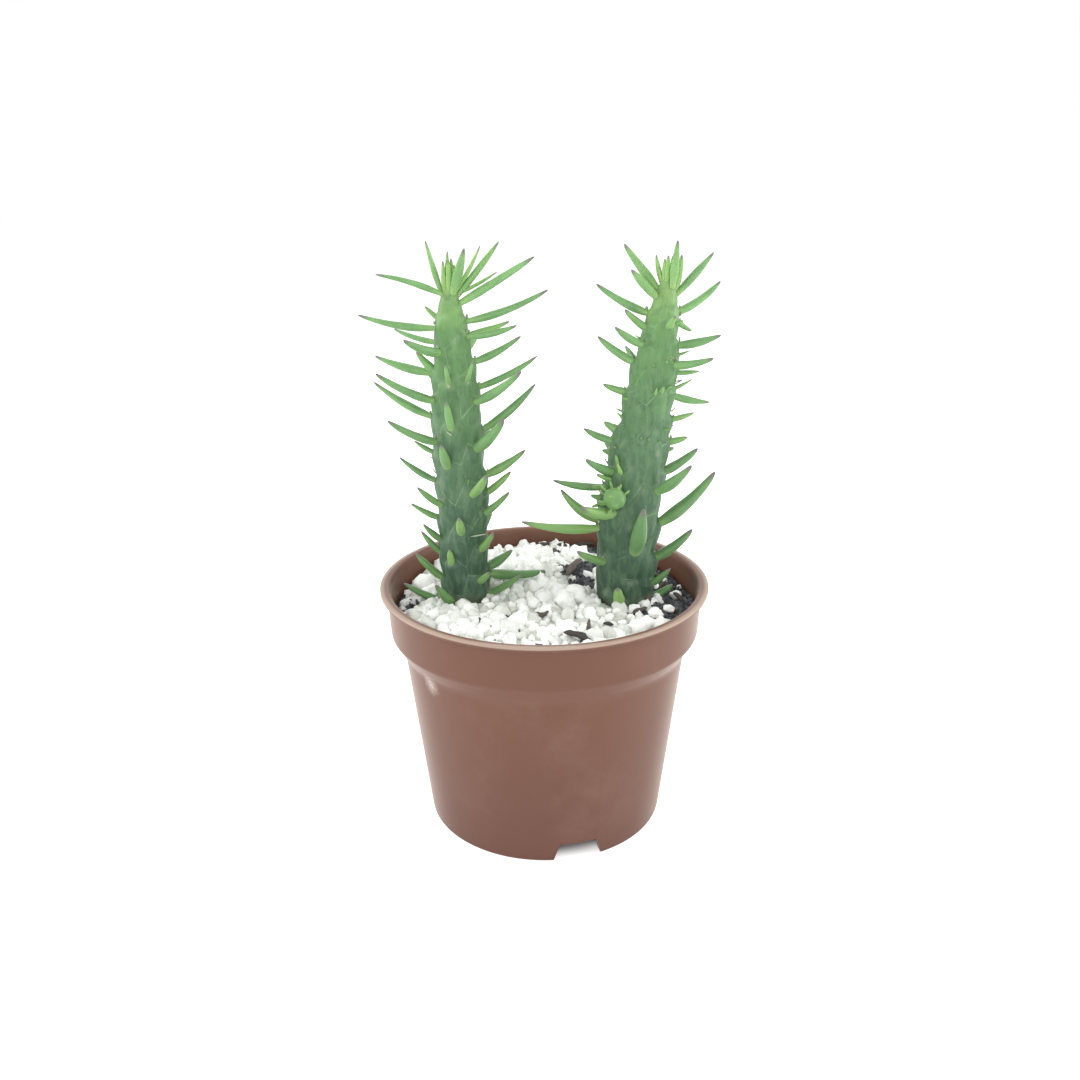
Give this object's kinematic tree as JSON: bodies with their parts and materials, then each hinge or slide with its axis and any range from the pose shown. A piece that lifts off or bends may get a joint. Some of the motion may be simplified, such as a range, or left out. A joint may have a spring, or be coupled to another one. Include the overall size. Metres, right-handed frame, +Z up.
{
  "type": "potted cactus",
  "caption": "Potted Eve's needle cactus: leafy succulent stems with awl-shaped leaves, rooted in peat under white perlite, in a tapered brown plastic nursery pot with a collar.",
  "frame": {"origin": "on the pot's axis, in the plane that its foot ring stands on", "axes": "+Z up along the pot's axis; -Y is the front, so +X is the side of the leaning right stem"},
  "size_m": [0.0869, 0.085, 0.1501],
  "materials": {
    "pot_plastic": "satin",
    "peat": "matte",
    "perlite": "matte",
    "stem": "satin",
    "young_growth": "satin",
    "leaf": "satin"
  },
  "bodies": {
    "root": {"pot": "pot_plastic", "soil": "peat", "perlite": "perlite", "stem_left": "stem", "stem_right": "stem", "side_shoot": "young_growth", "left_leaf_01": "leaf", "left_leaf_02": "leaf", "left_leaf_03": "leaf", "left_leaf_04": "leaf", "left_leaf_05": "leaf", "left_leaf_06": "leaf", "left_leaf_07": "leaf", "left_leaf_08": "leaf", "left_leaf_09": "leaf", "left_leaf_10": "leaf", "left_leaf_11": "leaf", "left_leaf_12": "leaf", "left_leaf_13": "leaf", "left_leaf_14": "leaf", "left_leaf_15": "leaf", "left_leaf_16": "leaf", "left_leaf_17": "leaf", "left_leaf_18": "leaf", "left_leaf_19": "leaf", "left_leaf_20": "leaf", "left_leaf_21": "leaf", "left_leaf_22": "leaf", "left_leaf_23": "leaf", "left_leaf_24": "leaf", "left_leaf_25": "leaf", "left_leaf_26": "leaf", "left_leaf_27": "leaf", "right_leaf_01": "leaf", "right_leaf_02": "leaf", "right_leaf_03": "leaf", "right_leaf_04": "leaf", "right_leaf_05": "leaf", "right_leaf_06": "leaf", "right_leaf_07": "leaf", "right_leaf_08": "leaf", "right_leaf_09": "leaf", "right_leaf_10": "leaf", "right_leaf_11": "leaf", "right_leaf_12": "leaf", "right_leaf_13": "leaf", "right_leaf_14": "leaf", "right_leaf_15": "leaf", "right_leaf_16": "leaf", "right_leaf_17": "leaf", "right_leaf_18": "leaf", "right_leaf_19": "leaf", "right_leaf_20": "leaf", "right_leaf_21": "leaf", "right_leaf_22": "leaf", "right_leaf_23": "leaf", "right_leaf_24": "leaf", "right_leaf_25": "leaf", "right_leaf_26": "leaf", "right_leaf_27": "leaf"}
  },
  "joints": []
}
